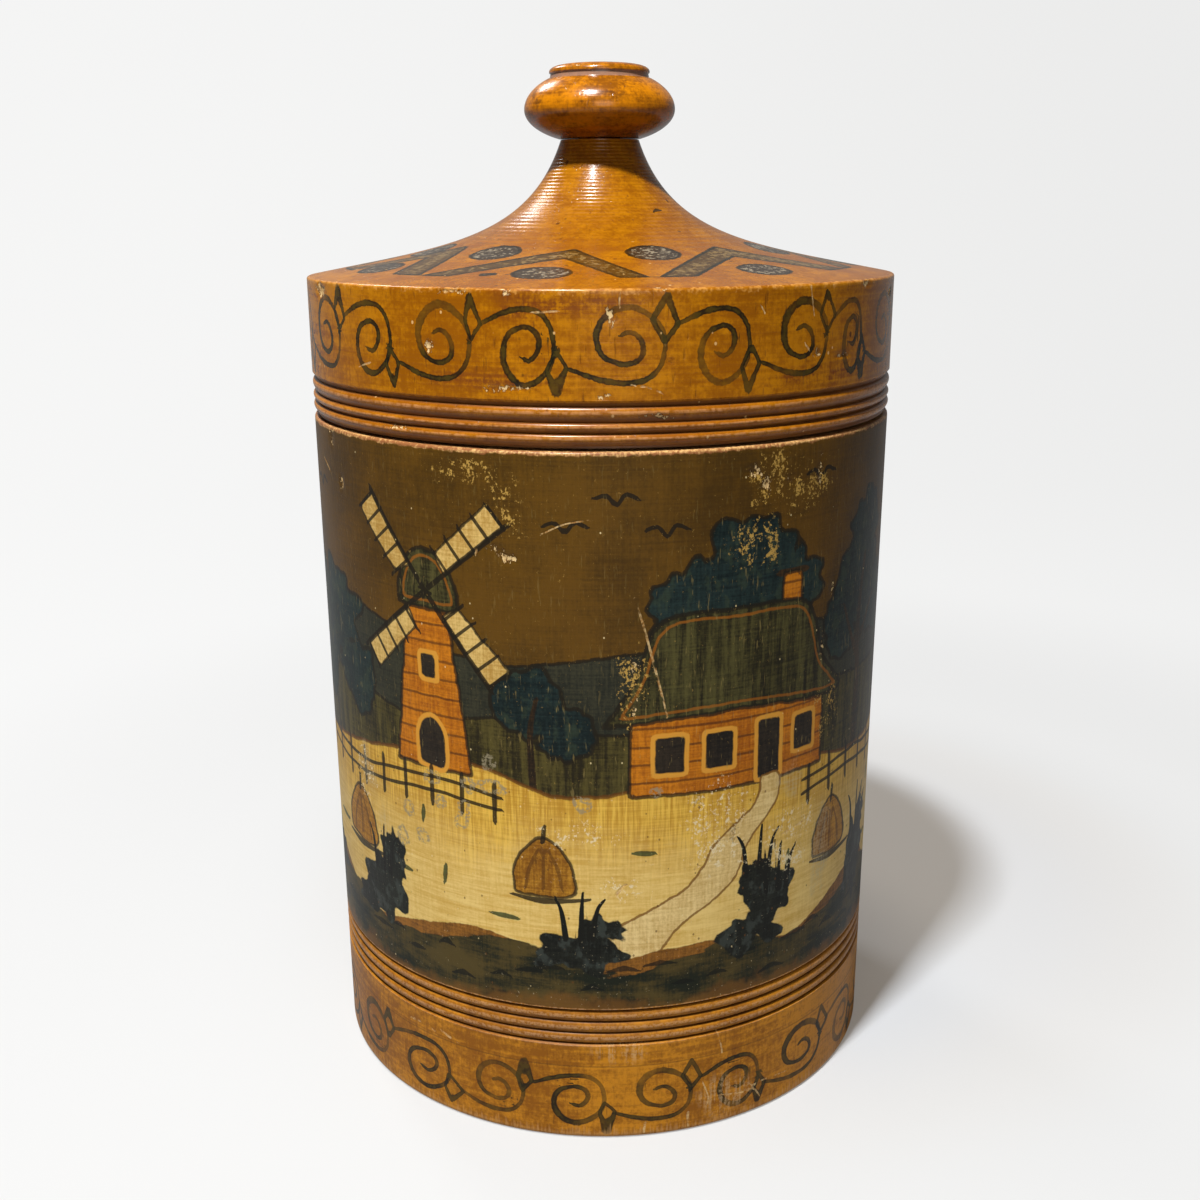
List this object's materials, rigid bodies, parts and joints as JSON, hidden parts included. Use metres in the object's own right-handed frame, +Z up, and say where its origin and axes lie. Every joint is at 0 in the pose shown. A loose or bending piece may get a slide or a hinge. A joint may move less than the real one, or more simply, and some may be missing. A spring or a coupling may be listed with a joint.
{
  "type": "painted wooden box with lid",
  "caption": "Turned cylindrical wooden box with a flush lift-off lid, beaded bands, a flared top and a knob, painted with a landscape and burned scrollwork.",
  "frame": {"origin": "centre of the foot ring, on the surface that the box stands on", "axes": "+Z up along the box's turning axis, -Y towards the side that faces the picture, +X to the right"},
  "size_m": [0.145, 0.145, 0.2498],
  "materials": {
    "painted_wood": "oil paint over burned outlines on turned wood, under glossy varnish",
    "bare_wood": "plain turned wood, unvarnished",
    "varnished_wood": "amber glossy varnish over turned wood"
  },
  "bodies": {
    "box": {"body_wall": "painted_wood", "base_disc": "bare_wood"},
    "lid": {"lid": "varnished_wood", "knob": "varnished_wood"}
  },
  "joints": [
    {"name": "lid_lift", "type": "slide", "parent": "box", "child": "lid", "axis": [0, 0, 1], "range_m": [0, 0.1]}
  ]
}
